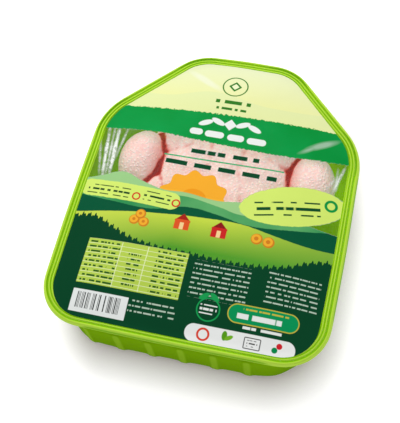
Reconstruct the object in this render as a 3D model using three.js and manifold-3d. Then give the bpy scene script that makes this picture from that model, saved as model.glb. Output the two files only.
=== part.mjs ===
// A whole raw chicken in its sealed tray pack: a ribbed tray, a film lid and the bird inside.
// Millimetres, +Z up, X across the pack, +Y towards its chamfered end, origin under its middle.
import * as THREE from "three";
import { mergeVertices } from "three/addons/utils/BufferGeometryUtils.js";
import Module from "manifold-3d";

const wasm = await Module();
wasm.setup();

// Plan outline of the rim
const PACK_WIDTH = 226;
const PACK_LENGTH = 267;
const SHOULDER_FROM_FRONT = 193.6;
const FAR_EDGE_WIDTH = 87.6;
const FRONT_RADIUS = 36;
const SHOULDER_RADIUS = 46;
const FAR_RADIUS = 34;
const SIDE_BOW = 0.8;

// Rim and walls
const RIM_HEIGHT = 58;
const LIP_DROP = 3;
const LIP_CURL = 1.6;
const LIP_WIDTH = 3;
const FLANGE_STEP = 0.9;
const FLANGE_WIDTH = 9.3;
const SHEET = 0.9;
const RIM_STIFFENER = 6;
const FRONT_WALL_INSET = 3.8;
const SIDE_WALL_INSET = 6.5;
const WALL_DRAFT = 1.6;
const BOTTOM_RADIUS = 17;
const BOTTOM_BENDS = [30, 60, 90];
const FOOT_WIDTH = 9;
const PANEL_RISE = 2;
const PANEL_SLOPE = 3;
const LEAST_RADIUS = 5;
const RIB_PITCH = 26;
const FIRST_RIB = 5;
const RIB_WIDTH = 8;
const RIB_SIDE = 1.2;
const RIB_DEPTH = 2;

// Film lid
const GAP = 0.3;
const FILM_THICKNESS = 0.5;
const FILM_INSET = 3.8;
const FILM_DOME = 7;
const DOME_REACH = 56;
const FILM_POINTS = 76;

// Bird, as it lies: breast up, tail end at the front
const BIRD_FLOOR = SHEET + PANEL_RISE + 0.5;
const BIRD_TOP = RIM_HEIGHT + FILM_DOME - 0.8;
const BODY_LENGTH = 184;
const BODY_WIDTH = 118;
const BODY_Y = 2;
const KNEE = new THREE.Vector3(69, 27, 39);
const HOCK = new THREE.Vector3(24, -74, 41);
const HIP = new THREE.Vector3(46, -28, 30);
const KNEE_RADIUS = 21;
const THIGH_RADIUS = 25;
const HOCK_RADIUS = 11;
const WING_SHOULDER = new THREE.Vector3(44, 64, 36);
const ELBOW = new THREE.Vector3(74, 40, 19);
const WING_TIP = new THREE.Vector3(56, 78, 16);
const UPPER_WING_RADII = [15, 13];
const FORE_WING_RADII = [12, 9];
const MUSCLE = 0.58;
const LIMB_SIDES = 12;
const CAP_STEPS = 3;
const TRUNK_SIDES = 26;
const TRUNK_RINGS = 16;

// The rim's section from its underside to the flange: distance in from the edge, depth below the top
const RIM_SECTION = [
  [LIP_CURL, LIP_DROP - 1],
  [1, LIP_DROP],
  [0, LIP_DROP - 0.3],
  [0.7, 0.2],
  [LIP_CURL, 0],
  [LIP_WIDTH, FLANGE_STEP],
  [FLANGE_WIDTH, FLANGE_STEP],
  [FLANGE_WIDTH, FLANGE_STEP + SHEET],
];

const tray_look = new THREE.MeshStandardMaterial({ color: 0x86c40c, roughness: 0.35, metalness: 0 });
const film_look = new THREE.MeshStandardMaterial({ color: 0x0b8a3d, roughness: 0.18, metalness: 0 });
const skin_look = new THREE.MeshStandardMaterial({ color: 0xe9c5b5, roughness: 0.4, metalness: 0 });

// The outline's corners, anticlockwise from the front left, and the radius of each.
const half = PACK_WIDTH / 2 - SIDE_BOW;
const front = -PACK_LENGTH / 2 + SIDE_BOW;
const far = PACK_LENGTH / 2 - SIDE_BOW;
const shoulder = SHOULDER_FROM_FRONT - PACK_LENGTH / 2;
const narrow = FAR_EDGE_WIDTH / 2;
const CORNERS = [
  new THREE.Vector2(-half, front),
  new THREE.Vector2(half, front),
  new THREE.Vector2(half, shoulder),
  new THREE.Vector2(narrow, far),
  new THREE.Vector2(-narrow, far),
  new THREE.Vector2(-half, shoulder),
];
const RADII = [FRONT_RADIUS, FRONT_RADIUS, SHOULDER_RADIUS, FAR_RADIUS, FAR_RADIUS, SHOULDER_RADIUS];
const SIDES = CORNERS.length;

function side_direction(k) {
  return CORNERS[(k + 1) % SIDES].clone().sub(CORNERS[k]).normalize();
}

function outward(k) {
  const d = side_direction(k);
  return new THREE.Vector2(d.y, -d.x);
}

// The point at the given distances inside two neighbouring sides.
function inner_corner(k, before, after) {
  const a = outward((k + SIDES - 1) % SIDES);
  const b = outward(k);
  const p = a.dot(CORNERS[k]) - before;
  const q = b.dot(CORNERS[k]) - after;
  const det = a.x * b.y - a.y * b.x;
  return new THREE.Vector2((p * b.y - q * a.y) / det, (a.x * q - b.x * p) / det);
}

// An outline set in from the rim: a distance for each side and a radius for each corner.
function outline(side_insets, radii) {
  const centres = CORNERS.map((_, k) => {
    const before = side_insets[(k + SIDES - 1) % SIDES] + radii[k];
    return inner_corner(k, before, side_insets[k] + radii[k]);
  });
  return { centres, radii };
}

function rim_outline(inset) {
  return outline(Array(SIDES).fill(inset), RADII.map((r) => Math.max(r - inset, LEAST_RADIUS)));
}

// The wall stands nearer the rim's edge at the front than at the other sides. Its corners keep
// the rim's radii down to the floor, so that they draw in a little from the rim.
function wall_outline(inset) {
  const insets = CORNERS.map((_, k) => (k === 0 ? FRONT_WALL_INSET : SIDE_WALL_INSET) + inset);
  return outline(insets, RADII);
}

// Piece 2k is side k and piece 2k + 1 the corner after it.
function point_on(shape, piece, t) {
  const k = Math.floor(piece / 2);
  const next = (k + 1) % SIDES;
  const n = outward(k);
  if (piece % 2 === 0) {
    const a = shape.centres[k].clone().addScaledVector(n, shape.radii[k]);
    const b = shape.centres[next].clone().addScaledVector(n, shape.radii[next]);
    return { point: a.lerp(b, t).addScaledVector(n, SIDE_BOW * 4 * t * (1 - t)), normal: n };
  }
  const turn = outward(next).angle() - n.angle();
  const angle = n.angle() + t * ((turn + 2 * Math.PI) % (2 * Math.PI));
  const normal = new THREE.Vector2(Math.cos(angle), Math.sin(angle));
  return { point: shape.centres[next].clone().addScaledVector(normal, shape.radii[next]), normal };
}

// Lengths of the pieces of an outline, to turn a distance along it into a piece and a share.
function piece_lengths(shape) {
  return Array.from({ length: 2 * SIDES }, (_, piece) => {
    const steps = 24;
    let sum = 0;
    for (let i = 0; i < steps; i += 1) {
      const a = point_on(shape, piece, i / steps).point;
      sum += a.distanceTo(point_on(shape, piece, (i + 1) / steps).point);
    }
    return sum;
  });
}

function locate(lengths, distance) {
  const total = lengths.reduce((a, b) => a + b);
  let rest = ((distance % total) + total) % total;
  let piece = 0;
  while (rest > lengths[piece]) {
    rest -= lengths[piece];
    piece += 1;
  }
  return { piece, t: rest / lengths[piece] };
}

// Places round the tray: four at each rib, and one between two ribs that lie on a corner.
// The first rib stands a little to the right of the front's middle.
function tray_places() {
  const lengths = piece_lengths(wall_outline(0));
  const total = lengths.reduce((a, b) => a + b);
  const count = Math.round(total / RIB_PITCH);
  const pitch = total / count;
  const places = [];
  for (let i = 0; i < count; i += 1) {
    const middle = lengths[0] / 2 + FIRST_RIB + i * pitch;
    const w = RIB_WIDTH / 2;
    places.push({ ...locate(lengths, middle - w), rib: 0 });
    places.push({ ...locate(lengths, middle - w + RIB_SIDE), rib: 1 });
    places.push({ ...locate(lengths, middle + w - RIB_SIDE), rib: 1 });
    places.push({ ...locate(lengths, middle + w), rib: 0 });
    const between = locate(lengths, middle + pitch / 2);
    if (between.piece % 2 === 1) places.push({ ...between, rib: 0 });
  }
  return places;
}

function even_places(count) {
  const lengths = piece_lengths(rim_outline(0));
  const total = lengths.reduce((a, b) => a + b);
  return Array.from({ length: count }, (_, i) => ({ ...locate(lengths, (i * total) / count), rib: 0 }));
}

// One closed row of points at a height, with the ribs standing out by rib_depth.
function row(places, shape, z, rib_depth = 0) {
  return places.map(({ piece, t, rib }) => {
    const { point, normal } = point_on(shape, piece, t);
    point.addScaledVector(normal, rib * rib_depth);
    return new THREE.Vector3(point.x, point.y, z);
  });
}

function shrunk(points, share, z) {
  return points.map((p) => new THREE.Vector3(p.x * share, p.y * share, z));
}

// A closed skin over rows of points, from a middle point below to a middle point at the end.
function skin(first_z, rows, last_z) {
  const n = rows[0].length;
  const flat = [new THREE.Vector3(0, 0, first_z), ...rows.flat(), new THREE.Vector3(0, 0, last_z)];
  const faces = [];
  const at = (r, j) => 1 + r * n + (j % n);
  for (let j = 0; j < n; j += 1) {
    faces.push(0, at(0, j + 1), at(0, j));
    for (let r = 0; r + 1 < rows.length; r += 1) {
      faces.push(at(r, j), at(r, j + 1), at(r + 1, j + 1));
      faces.push(at(r, j), at(r + 1, j + 1), at(r + 1, j));
    }
    faces.push(at(rows.length - 1, j), at(rows.length - 1, j + 1), flat.length - 1);
  }
  const geometry = new THREE.BufferGeometry().setFromPoints(flat);
  geometry.setIndex(faces);
  geometry.computeVertexNormals();
  return geometry;
}

// Rows of one face of the wall, from the floor's middle panel up to the rim, `sheet` inside it.
function wall_rows(places, sheet, rib_depth) {
  const top = RIM_HEIGHT - SHEET - FLANGE_STEP;
  const lean = Math.tan(THREE.MathUtils.degToRad(WALL_DRAFT)) * (top - BOTTOM_RADIUS);
  const floor_inset = lean + BOTTOM_RADIUS;
  const panel = row(places, wall_outline(floor_inset + FOOT_WIDTH + PANEL_SLOPE), PANEL_RISE + sheet);
  const rows = [
    shrunk(panel, 0.5, PANEL_RISE + sheet),
    panel,
    row(places, wall_outline(floor_inset + FOOT_WIDTH), sheet),
    row(places, wall_outline(floor_inset), sheet),
  ];
  for (const degrees of BOTTOM_BENDS) {
    const a = THREE.MathUtils.degToRad(degrees);
    const r = BOTTOM_RADIUS - sheet;
    const inset = floor_inset - r * Math.sin(a);
    rows.push(row(places, wall_outline(inset), BOTTOM_RADIUS - r * Math.cos(a), rib_depth));
  }
  const wall_top = sheet > 0 ? top - RIM_STIFFENER : top;
  rows.push(row(places, wall_outline(sheet), wall_top, rib_depth));
  return rows;
}

function tray_geometry() {
  const places = tray_places();
  const outside = wall_rows(places, 0, RIB_DEPTH);
  const inside = wall_rows(places, SHEET, 0);
  const rim = RIM_SECTION.map(([inset, depth]) => row(places, rim_outline(inset), RIM_HEIGHT - depth));
  return skin(PANEL_RISE, [...outside, ...rim, ...inside.reverse()], PANEL_RISE + SHEET);
}

// The film rises from the flange and is nearly flat over the bird.
function dome(inset) {
  const share = THREE.MathUtils.clamp((inset - FLANGE_WIDTH) / DOME_REACH, 0, 1);
  return FILM_DOME * Math.sin((share * Math.PI) / 2);
}

function film_geometry() {
  const places = even_places(FILM_POINTS);
  const seat = RIM_HEIGHT - FLANGE_STEP + GAP;
  const insets = [DOME_REACH + FLANGE_WIDTH, 40, 22, FLANGE_WIDTH, FILM_INSET];
  const face = (lift) => {
    const rows = insets.map((i) => row(places, rim_outline(i), seat + lift + dome(i)));
    return [shrunk(rows[0], 0.5, seat + lift + FILM_DOME), ...rows];
  };
  const rows = [...face(0), ...face(FILM_THICKNESS).reverse()];
  return skin(seat + FILM_DOME, rows, seat + FILM_THICKNESS + FILM_DOME);
}

// manifold-3d solids of closed three.js geometries
function solid_of(geometry) {
  const bare = geometry.clone();
  bare.deleteAttribute("normal");
  bare.deleteAttribute("uv");
  const merged = mergeVertices(bare, 1e-4);
  const vertProperties = merged.attributes.position.array;
  const triVerts = new Uint32Array(merged.index.array);
  return new wasm.Manifold(new wasm.Mesh({ numProp: 3, vertProperties, triVerts }));
}

function geometry_of(solid) {
  const mesh = solid.getMesh();
  const geometry = new THREE.BufferGeometry();
  geometry.setAttribute("position", new THREE.BufferAttribute(mesh.vertProperties, 3));
  geometry.setIndex(new THREE.BufferAttribute(mesh.triVerts, 1));
  geometry.computeVertexNormals();
  return geometry;
}

// A limb with a round cap of its own radius at each end.
function limb(from, to, from_radius, to_radius) {
  const length = from.distanceTo(to);
  const profile = [];
  for (let i = 0; i <= CAP_STEPS; i += 1) {
    const a = (i / CAP_STEPS) * (Math.PI / 2);
    profile.push(new THREE.Vector2(from_radius * Math.sin(a), -from_radius * Math.cos(a)));
  }
  profile.push(new THREE.Vector2((from_radius + to_radius) * MUSCLE, length * 0.45));
  for (let i = CAP_STEPS; i >= 0; i -= 1) {
    const a = (i / CAP_STEPS) * (Math.PI / 2);
    profile.push(new THREE.Vector2(to_radius * Math.sin(a), length + to_radius * Math.cos(a)));
  }
  profile[0].x = 0;
  profile[profile.length - 1].x = 0;
  const geometry = new THREE.LatheGeometry(profile, LIMB_SIDES);
  const along = to.clone().sub(from).normalize();
  geometry.applyQuaternion(new THREE.Quaternion().setFromUnitVectors(new THREE.Vector3(0, 1, 0), along));
  return geometry.translate(from.x, from.y, from.z);
}

// The trunk is widest over the breast, flat under the back, and lower and narrower at the tail.
function trunk_geometry() {
  const geometry = new THREE.SphereGeometry(1, TRUNK_SIDES, TRUNK_RINGS);
  geometry.rotateX(Math.PI / 2);
  const p = geometry.attributes.position;
  const middle_z = (BIRD_TOP + BIRD_FLOOR) / 2;
  const soften = (value, power) => Math.sign(value) * Math.abs(value) ** power;
  for (let i = 0; i < p.count; i += 1) {
    const u = p.getY(i);
    const tail = Math.max(0, -u);
    const x = soften(p.getX(i), 0.85) * (BODY_WIDTH / 2) * (1 - 0.22 * tail);
    const low = p.getZ(i) > 0 ? 1 - 0.3 * tail * tail : 1;
    const z = soften(p.getZ(i), 0.75) * ((BIRD_TOP - BIRD_FLOOR) / 2) * low;
    const keel = Math.max(0, p.getZ(i)) * 1.6 * Math.exp(-((p.getX(i) / 0.2) ** 2));
    p.setXYZ(i, x, BODY_Y + u * (BODY_LENGTH / 2), middle_z + z - keel);
  }
  return geometry;
}

function mirrored(v) {
  return new THREE.Vector3(-v.x, v.y, v.z);
}

function leg_and_wing(place) {
  return [
    limb(place(KNEE), place(HOCK), KNEE_RADIUS, HOCK_RADIUS),
    limb(place(KNEE), place(HIP), KNEE_RADIUS, THIGH_RADIUS),
    limb(place(WING_SHOULDER), place(ELBOW), ...UPPER_WING_RADII),
    limb(place(ELBOW), place(WING_TIP), ...FORE_WING_RADII),
  ];
}

function chicken_geometry() {
  const right = leg_and_wing((v) => v);
  const left = leg_and_wing(mirrored);
  let bird = solid_of(trunk_geometry());
  for (const piece of [...right, ...left]) {
    bird = bird.add(solid_of(piece));
  }
  return geometry_of(bird);
}

function named_mesh(name, geometry, material) {
  const mesh = new THREE.Mesh(geometry, material);
  mesh.name = name;
  return mesh;
}

const pack = new THREE.Group();
pack.add(named_mesh("tray", tray_geometry(), tray_look));
pack.add(named_mesh("lid_film", film_geometry(), film_look));
pack.add(named_mesh("chicken", chicken_geometry(), skin_look));

export default pack;
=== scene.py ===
import math

import bmesh
import bpy
import numpy as np
from bpy.props import FloatProperty, FloatVectorProperty, PointerProperty
from mathutils import Matrix, Vector


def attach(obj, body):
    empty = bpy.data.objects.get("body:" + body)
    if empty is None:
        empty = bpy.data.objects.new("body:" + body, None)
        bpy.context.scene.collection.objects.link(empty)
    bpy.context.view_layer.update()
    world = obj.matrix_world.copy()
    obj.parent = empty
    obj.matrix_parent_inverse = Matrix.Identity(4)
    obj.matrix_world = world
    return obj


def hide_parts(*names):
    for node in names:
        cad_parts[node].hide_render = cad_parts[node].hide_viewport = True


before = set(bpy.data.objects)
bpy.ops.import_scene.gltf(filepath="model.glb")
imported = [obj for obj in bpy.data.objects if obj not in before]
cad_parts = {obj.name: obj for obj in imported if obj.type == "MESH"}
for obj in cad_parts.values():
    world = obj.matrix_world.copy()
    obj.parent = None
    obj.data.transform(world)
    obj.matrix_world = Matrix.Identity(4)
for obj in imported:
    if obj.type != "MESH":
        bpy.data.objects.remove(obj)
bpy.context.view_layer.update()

bl_info = {
    "name": "Chicken Tray Pack",
    "version": (1, 0, 0),
    "blender": (4, 5, 0),
    "location": "3D View > Sidebar > Chicken Pack",
    "description": "A whole raw chicken sealed in a ribbed tray under a printed film lid",
    "category": "Object",
}

MM = 0.001


# Measures and colours

def linear(red, green, blue):
    """A colour from its 0 to 255 screen values."""
    return tuple((c / 255) ** 2.2 for c in (red, green, blue))


def millimetres(name, description, default):
    """A length property, its default given in millimetres."""
    return FloatProperty(name=name, description=description, default=default * MM, subtype="DISTANCE")


def colour(name, description, red, green, blue):
    """A colour property, its default given in screen values."""
    return FloatVectorProperty(name=name, description=description, subtype="COLOR", min=0, max=1,
                               default=linear(red, green, blue))


class PackSizes(bpy.types.PropertyGroup):
    width: millimetres("Width", "Across the rim, without the bow of its sides", 224.4)
    length: millimetres("Length", "Along the rim, without the bow of its sides", 265.4)
    shoulder: millimetres("Shoulder", "From the front edge to where the far corners are cut off", 192.8)
    far_edge: millimetres("Far edge", "Length of the far edge between the cut corners", 87.6)
    bow: millimetres("Bow", "How far the middle of each side stands out", 0.8)
    flange: millimetres("Flange", "Width of the rim from its edge to the well", 9.3)
    wall_inset: millimetres("Wall inset", "From the rim's edge in to the wall", 6.5)
    front_shift: millimetres("Front shift", "How much nearer the edge the front wall stands", 2.7)
    sheet: millimetres("Sheet", "Thickness of the tray", 0.9)
    bottom_radius: millimetres("Bottom radius", "Rounding between wall and floor", 17)
    rib_depth: millimetres("Rib depth", "How far the ribs stand out of the wall", 1.0)


class PackColours(bpy.types.PropertyGroup):
    lime: colour("Lime", "Rim and inside of the tray", 152, 210, 16)
    # The wall colour is a darker copy of the lime: painted shade.
    wall: colour("Wall", "Outer walls of the tray", 112, 158, 3)
    # The lip colour is a darker copy of the lime: painted shade.
    lip: colour("Lip", "Turned-down edge of the rim", 122, 182, 0)
    skin: colour("Skin", "Palest skin of the bird", 248, 222, 210)
    # The skin's own redness in the folds, with painted shade in them too.
    flush: colour("Flush", "Redder skin in the folds", 216, 76, 62)
    cream: colour("Cream", "Far field of the print", 240, 242, 160)
    band: colour("Band", "Broad band of the print", 2, 145, 60)
    field: colour("Field", "Near field of the print", 0, 70, 42)


class StageSettings(bpy.types.PropertyGroup):
    azimuth: FloatProperty(name="Azimuth", description="Camera's turn round the pack", subtype="ANGLE",
                           default=math.radians(20.77))
    elevation: FloatProperty(name="Elevation", description="Camera's height over the floor", subtype="ANGLE",
                             default=math.radians(61.41))
    roll: FloatProperty(name="Roll", description="Camera's tilt about its own axis", subtype="ANGLE",
                        default=math.radians(-8.44))
    distance: millimetres("Distance", "From the camera to the point it looks at", 699.4)
    lens: FloatProperty(name="Lens", description="Focal length for a 36 mm sensor", unit="CAMERA",
                        default=74.48)


# Modelling helpers

def alone():
    """Leaves edit mode and deselects everything, so that the next primitive is selected alone."""
    if bpy.context.object and bpy.context.object.mode != "OBJECT":
        bpy.ops.object.mode_set(mode="OBJECT")
    bpy.ops.object.select_all(action="DESELECT")


def active(name):
    """The active object, given its name."""
    piece = bpy.context.object
    piece.name = name
    piece.data.name = name
    return piece


def pick(kind, test):
    """In edit mode, selects the vertices, edges or faces that pass a test and nothing else."""
    bpy.ops.mesh.select_mode(type={"verts": "VERT", "edges": "EDGE", "faces": "FACE"}[kind])
    bpy.ops.mesh.select_all(action="DESELECT")
    shape = bmesh.from_edit_mesh(bpy.context.object.data)
    for part in getattr(shape, kind):
        if test(part):
            part.select_set(True)
    shape.select_flush_mode()
    bmesh.update_edit_mesh(bpy.context.object.data)


def middle(part):
    """The mean place of a face's or an edge's vertices."""
    return sum((v.co for v in part.verts), Vector()) / len(part.verts)


def modify(piece, kind, **settings):
    """Adds a modifier, sets it and applies it."""
    modifier = piece.modifiers.new(kind.title(), kind)
    for key, value in settings.items():
        setattr(modifier, key, value)
    bpy.context.view_layer.objects.active = piece
    bpy.ops.object.modifier_apply(modifier=modifier.name)


def store(piece, name, values):
    """Stores one value for each vertex, for the material to read."""
    piece.data.attributes.new(name, "FLOAT", "POINT").data.foreach_set("value", values)


def finish_piece(piece, material, node):
    """Gives a piece its material and its place in the frame."""
    piece.data.materials.append(material)
    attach(piece, "root")
    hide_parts(node)


# The pack's outline, shared by the tray and the film

ARC_STEPS = {"front": 9, "shoulder": 4, "far": 4}
CORNER_RADII = {"front": 36 * MM, "shoulder": 46 * MM, "far": 34 * MM}
STRAIGHT_STEPS = {"front": 18, "side": 16, "chamfer": 8, "far": 8}
SHORTEST_SIDE = 30 * MM
LEAST_STEP = 0.02 * MM


def corner_points(sizes):
    """Each kind of corner, as its right-hand point."""
    front = -sizes.length / 2
    return {
        "front": Vector((sizes.width / 2, front, 0)),
        "shoulder": Vector((sizes.width / 2, front + sizes.shoulder, 0)),
        "far": Vector((sizes.far_edge / 2, -front, 0)),
    }


def turn_at(kind, corners):
    """The angle by which the outline turns at a corner."""
    chamfer = corners["far"] - corners["shoulder"]
    lean = math.atan2(chamfer.x, chamfer.y)
    return {"front": math.pi / 2, "shoulder": abs(lean), "far": math.pi / 2 - abs(lean)}[kind]


def side_kind(start, end):
    """Which side of the outline an edge belongs to, by its direction."""
    run = end - start
    if abs(run.y) < abs(run.x) * 0.1:
        return "front" if start.y < 0 else "far"
    return "side" if abs(run.x) < abs(run.y) * 0.1 else "chamfer"


def outline_face(name, sizes, height):
    """A flat face with the outline of the rim, in edit mode and selected."""
    alone()
    bpy.ops.mesh.primitive_circle_add(vertices=6, radius=0.1, fill_type="NGON", location=(0, 0, height))
    piece = active(name)
    bpy.ops.object.transform_apply(location=True, rotation=False, scale=False)
    bpy.ops.object.mode_set(mode="EDIT")
    corners = corner_points(sizes)
    targets = [Vector((side * p.x, p.y, height)) for p in corners.values() for side in (-1, 1)]
    angle = lambda p: math.atan2(p.y, p.x)
    targets.sort(key=angle)
    starts = sorted((v.co.copy() for v in piece.data.vertices), key=angle)
    for start, target in zip(starts, targets):
        pick("verts", lambda v: (v.co - start).length < 1e-6)
        bpy.ops.transform.translate(value=target - start)
    for kind, corner in corners.items():
        reach = CORNER_RADII[kind] * math.tan(turn_at(kind, corners) / 2)
        pick("verts", lambda v: (Vector((abs(v.co.x), v.co.y, 0)) - corner).length < 1e-5)
        bpy.ops.mesh.bevel(offset=reach, segments=ARC_STEPS[kind], affect="VERTICES")
    for kind, steps in STRAIGHT_STEPS.items():
        pick("edges", lambda e: e.calc_length() > SHORTEST_SIDE and side_kind(*(v.co for v in e.verts)) == kind)
        bpy.ops.mesh.subdivide(number_cuts=steps - 1)
    pick("faces", lambda f: True)
    bpy.ops.mesh.dissolve_faces()
    bow_sides(sizes, corners, height)
    return piece


def bow_sides(sizes, corners, height):
    """Pulls the middle of each square side out a little, with a smooth falloff to its ends."""
    front, shoulder, far = (corners[k] for k in ("front", "shoulder", "far"))
    sides = [((front + shoulder) / 2, shoulder - front)]
    sides += [(Vector((-m.x, m.y, 0)), Vector((-r.x, r.y, 0))) for m, r in sides]
    sides += [(Vector((0, end.y, 0)), Vector((2 * end.x, 0, 0))) for end in (front, far)]
    for place, run in sides:
        out = Vector((run.y, -run.x, 0)).normalized()
        out = out if out.dot(place) > 0 else -out
        place = place + Vector((0, 0, height))
        pick("verts", lambda v: (v.co - place).length < 5 * MM)
        bpy.ops.transform.translate(value=out * sizes.bow, use_proportional_edit=True,
                                    proportional_edit_falloff="SMOOTH", proportional_size=run.length * 0.45)


def inset_rows(rows):
    """Insets the selected face row by row: distance inwards, and rise."""
    for inwards, rise in rows:
        bpy.ops.mesh.inset(thickness=max(abs(inwards), LEAST_STEP), depth=rise, use_outset=inwards < 0)


# Tray

RIM_ROWS = [(0.3, 0.25), (0.5, 1.3), (0.5, 0.95), (0.6, 0.35), (0.8, 0.05), (0.6, -0.7), (0.5, -0.2),
            (0.6, 0.0), (0.5, 0.55), (0.7, 0.0), (0.5, -0.55), (0.6, 0.0), (0.5, 0.5), (0.7, 0.0),
            (0.5, -0.45), (0.5, -0.1), (0.4, -0.4)]
RIM_BASE = 55 * MM
UNDER_RIM = 53 * MM
LIP_WIDTH = 1.6 * MM
RIB_FOOT = 11 * MM
RIB_TOP = 50 * MM
RIB_EVERY = 3
RIB_CLEARANCE = 2 * MM
RIB_BEVEL = 1.4 * MM
RIB_CROWN = 0.5 * MM
CORNER_PULL = 6.0 * MM
CORNER_REACH = 34 * MM
CORNER_OUT = 12 * MM
CORNER_HALF_WIDTH = 6 * MM
ABOVE_WELL = 60 * MM
WALL_ROWS = 4
BEND_STEPS = 4


def wall_and_floor_rows(sizes):
    """Rows from the flange's inner edge down the wall and over the floor."""
    start_inset = sum(row[0] for row in RIM_ROWS) * MM
    wall = sizes.wall_inset + sizes.sheet
    top = RIM_BASE + sum(row[1] for row in RIM_ROWS) * MM
    bend = sizes.bottom_radius - sizes.sheet
    drop = top - sizes.bottom_radius
    rows = [(0, -2 * MM), (wall - start_inset, -4 * MM)]
    rows += [(0.27 * MM, -(drop - 6 * MM) / WALL_ROWS)] * WALL_ROWS
    for step in range(BEND_STEPS):
        a = step / BEND_STEPS * math.pi / 2
        b = (step + 1) / BEND_STEPS * math.pi / 2
        rows.append((bend * (math.cos(a) - math.cos(b)), -bend * (math.sin(b) - math.sin(a))))
    rows += [(8 * MM, 0), (1 * MM, 0.3 * MM), (2 * MM, 1.4 * MM), (1 * MM, 0.3 * MM)]
    return rows


def rib_columns(level, sizes):
    """The faces of one ring that become ribs: every third one, but none round the front corners."""
    ring = sorted(level, key=lambda f: (math.atan2(middle(f).y, middle(f).x) + math.pi / 2) % (2 * math.pi))
    side = sizes.width / 2 - CORNER_RADII["front"]
    end = CORNER_RADII["front"] - sizes.length / 2
    return [f for f in ring[::RIB_EVERY]
            if not (abs(middle(f).x) > side - RIB_CLEARANCE and middle(f).y < end)]


def raise_ribs(piece, sizes):
    """Raises the ribs' faces out of the wall and marks their vertices."""
    shape = bmesh.from_edit_mesh(piece.data)
    bpy.ops.mesh.select_mode(type="FACE")
    bpy.ops.mesh.select_all(action="DESELECT")
    walls = [f for f in shape.faces if RIB_FOOT < middle(f).z < RIB_TOP and len(f.verts) == 4
             and f.normal.z < 0.95 and abs(middle(f).x) + abs(middle(f).y) > 40 * MM]
    walls.sort(key=lambda f: middle(f).z)
    around = sum(STRAIGHT_STEPS[k] * (1 if k in ("front", "far") else 2) for k in STRAIGHT_STEPS)
    around += 2 * sum(ARC_STEPS.values())
    for start in range(0, len(walls) - around + 1, around):
        for face in rib_columns(walls[start:start + around], sizes):
            face.select_set(True)
    bmesh.update_edit_mesh(piece.data)
    bpy.ops.mesh.inset(thickness=RIB_BEVEL, depth=-sizes.rib_depth)
    bpy.ops.mesh.inset(thickness=RIB_CROWN, depth=-0.1 * MM)
    shape = bmesh.from_edit_mesh(piece.data)
    rib = shape.verts.layers.float.new("rib")
    for vertex in shape.verts:
        vertex[rib] = float(vertex.select)
    bmesh.update_edit_mesh(piece.data)


def round_wall_corners(sizes):
    """Draws the wall in at the front corners, where it stands further under the rim."""
    pick("verts", lambda v: v.co.z > UNDER_RIM)
    bpy.ops.mesh.hide(unselected=False)
    radius = CORNER_RADII["front"]
    centre = Vector((sizes.width / 2 - radius, radius - sizes.length / 2 - sizes.front_shift))
    for side in (-1, 1):
        pick("verts", lambda v: abs(v.co.x * side - centre.x + v.co.y - centre.y) < CORNER_HALF_WIDTH
             and v.co.x * side - centre.x > CORNER_OUT)
        bpy.ops.transform.translate(value=(-side * CORNER_PULL, CORNER_PULL, 0), use_proportional_edit=True,
                                    proportional_edit_falloff="SMOOTH", proportional_size=CORNER_REACH)
    bpy.ops.mesh.reveal(select=False)


def store_edges(tray, sizes):
    """Marks the turned-down lip, and how far each place is a groove, above 0, or a ridge, below 0."""
    outline = [edge_distance(v.co, sizes) for v in tray.data.vertices]
    lip = [float(v.co.z > UNDER_RIM and gap < LIP_WIDTH) for v, gap in zip(tray.data.vertices, outline)]
    fold = np.clip(fold_depth(tray, 4) / (0.1 * MM), -1, 1).astype(np.float32)
    store(tray, "lip", lip)
    store(tray, "fold", fold)


def store_inner(tray):
    """Marks the side of the sheet that faces into the well."""
    well = Vector((0, 0, ABOVE_WELL))
    inner = [float(v.co.z < RIM_BASE + 0.5 * MM and v.normal.dot(well - v.co) > 0 and v.normal.z > -0.3
                   and v.normal.dot(Vector((-v.co.x, -v.co.y, ABOVE_WELL))) > 0) for v in tray.data.vertices]
    store(tray, "inner", inner)


def make_tray(pack):
    """The tray is drawn inwards from the rim's outline, row by row, and then given its thickness."""
    sizes = pack.sizes
    tray = outline_face("tray_shell", sizes, RIM_BASE)
    pick("faces", lambda f: True)
    inset_rows([(inwards * MM, rise * MM) for inwards, rise in RIM_ROWS])
    inset_rows(wall_and_floor_rows(sizes))
    far_wall = sizes.length / 2 - sizes.wall_inset
    pick("verts", lambda v: v.co.z < UNDER_RIM)
    bpy.ops.transform.resize(value=(1, 1 + sizes.front_shift / (2 * far_wall), 1),
                             center_override=(0, far_wall, 0))
    round_wall_corners(sizes)
    raise_ribs(tray, sizes)
    bpy.ops.object.mode_set(mode="OBJECT")
    modify(tray, "SOLIDIFY", thickness=sizes.sheet, offset=-1, use_even_offset=True, use_quality_normals=True)
    modify(tray, "SUBSURF", levels=1, render_levels=1)
    bpy.ops.object.shade_smooth()
    store_inner(tray)
    store_edges(tray, sizes)
    finish_piece(tray, lime_plastic(pack.colours), "tray")


# Materials

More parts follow.
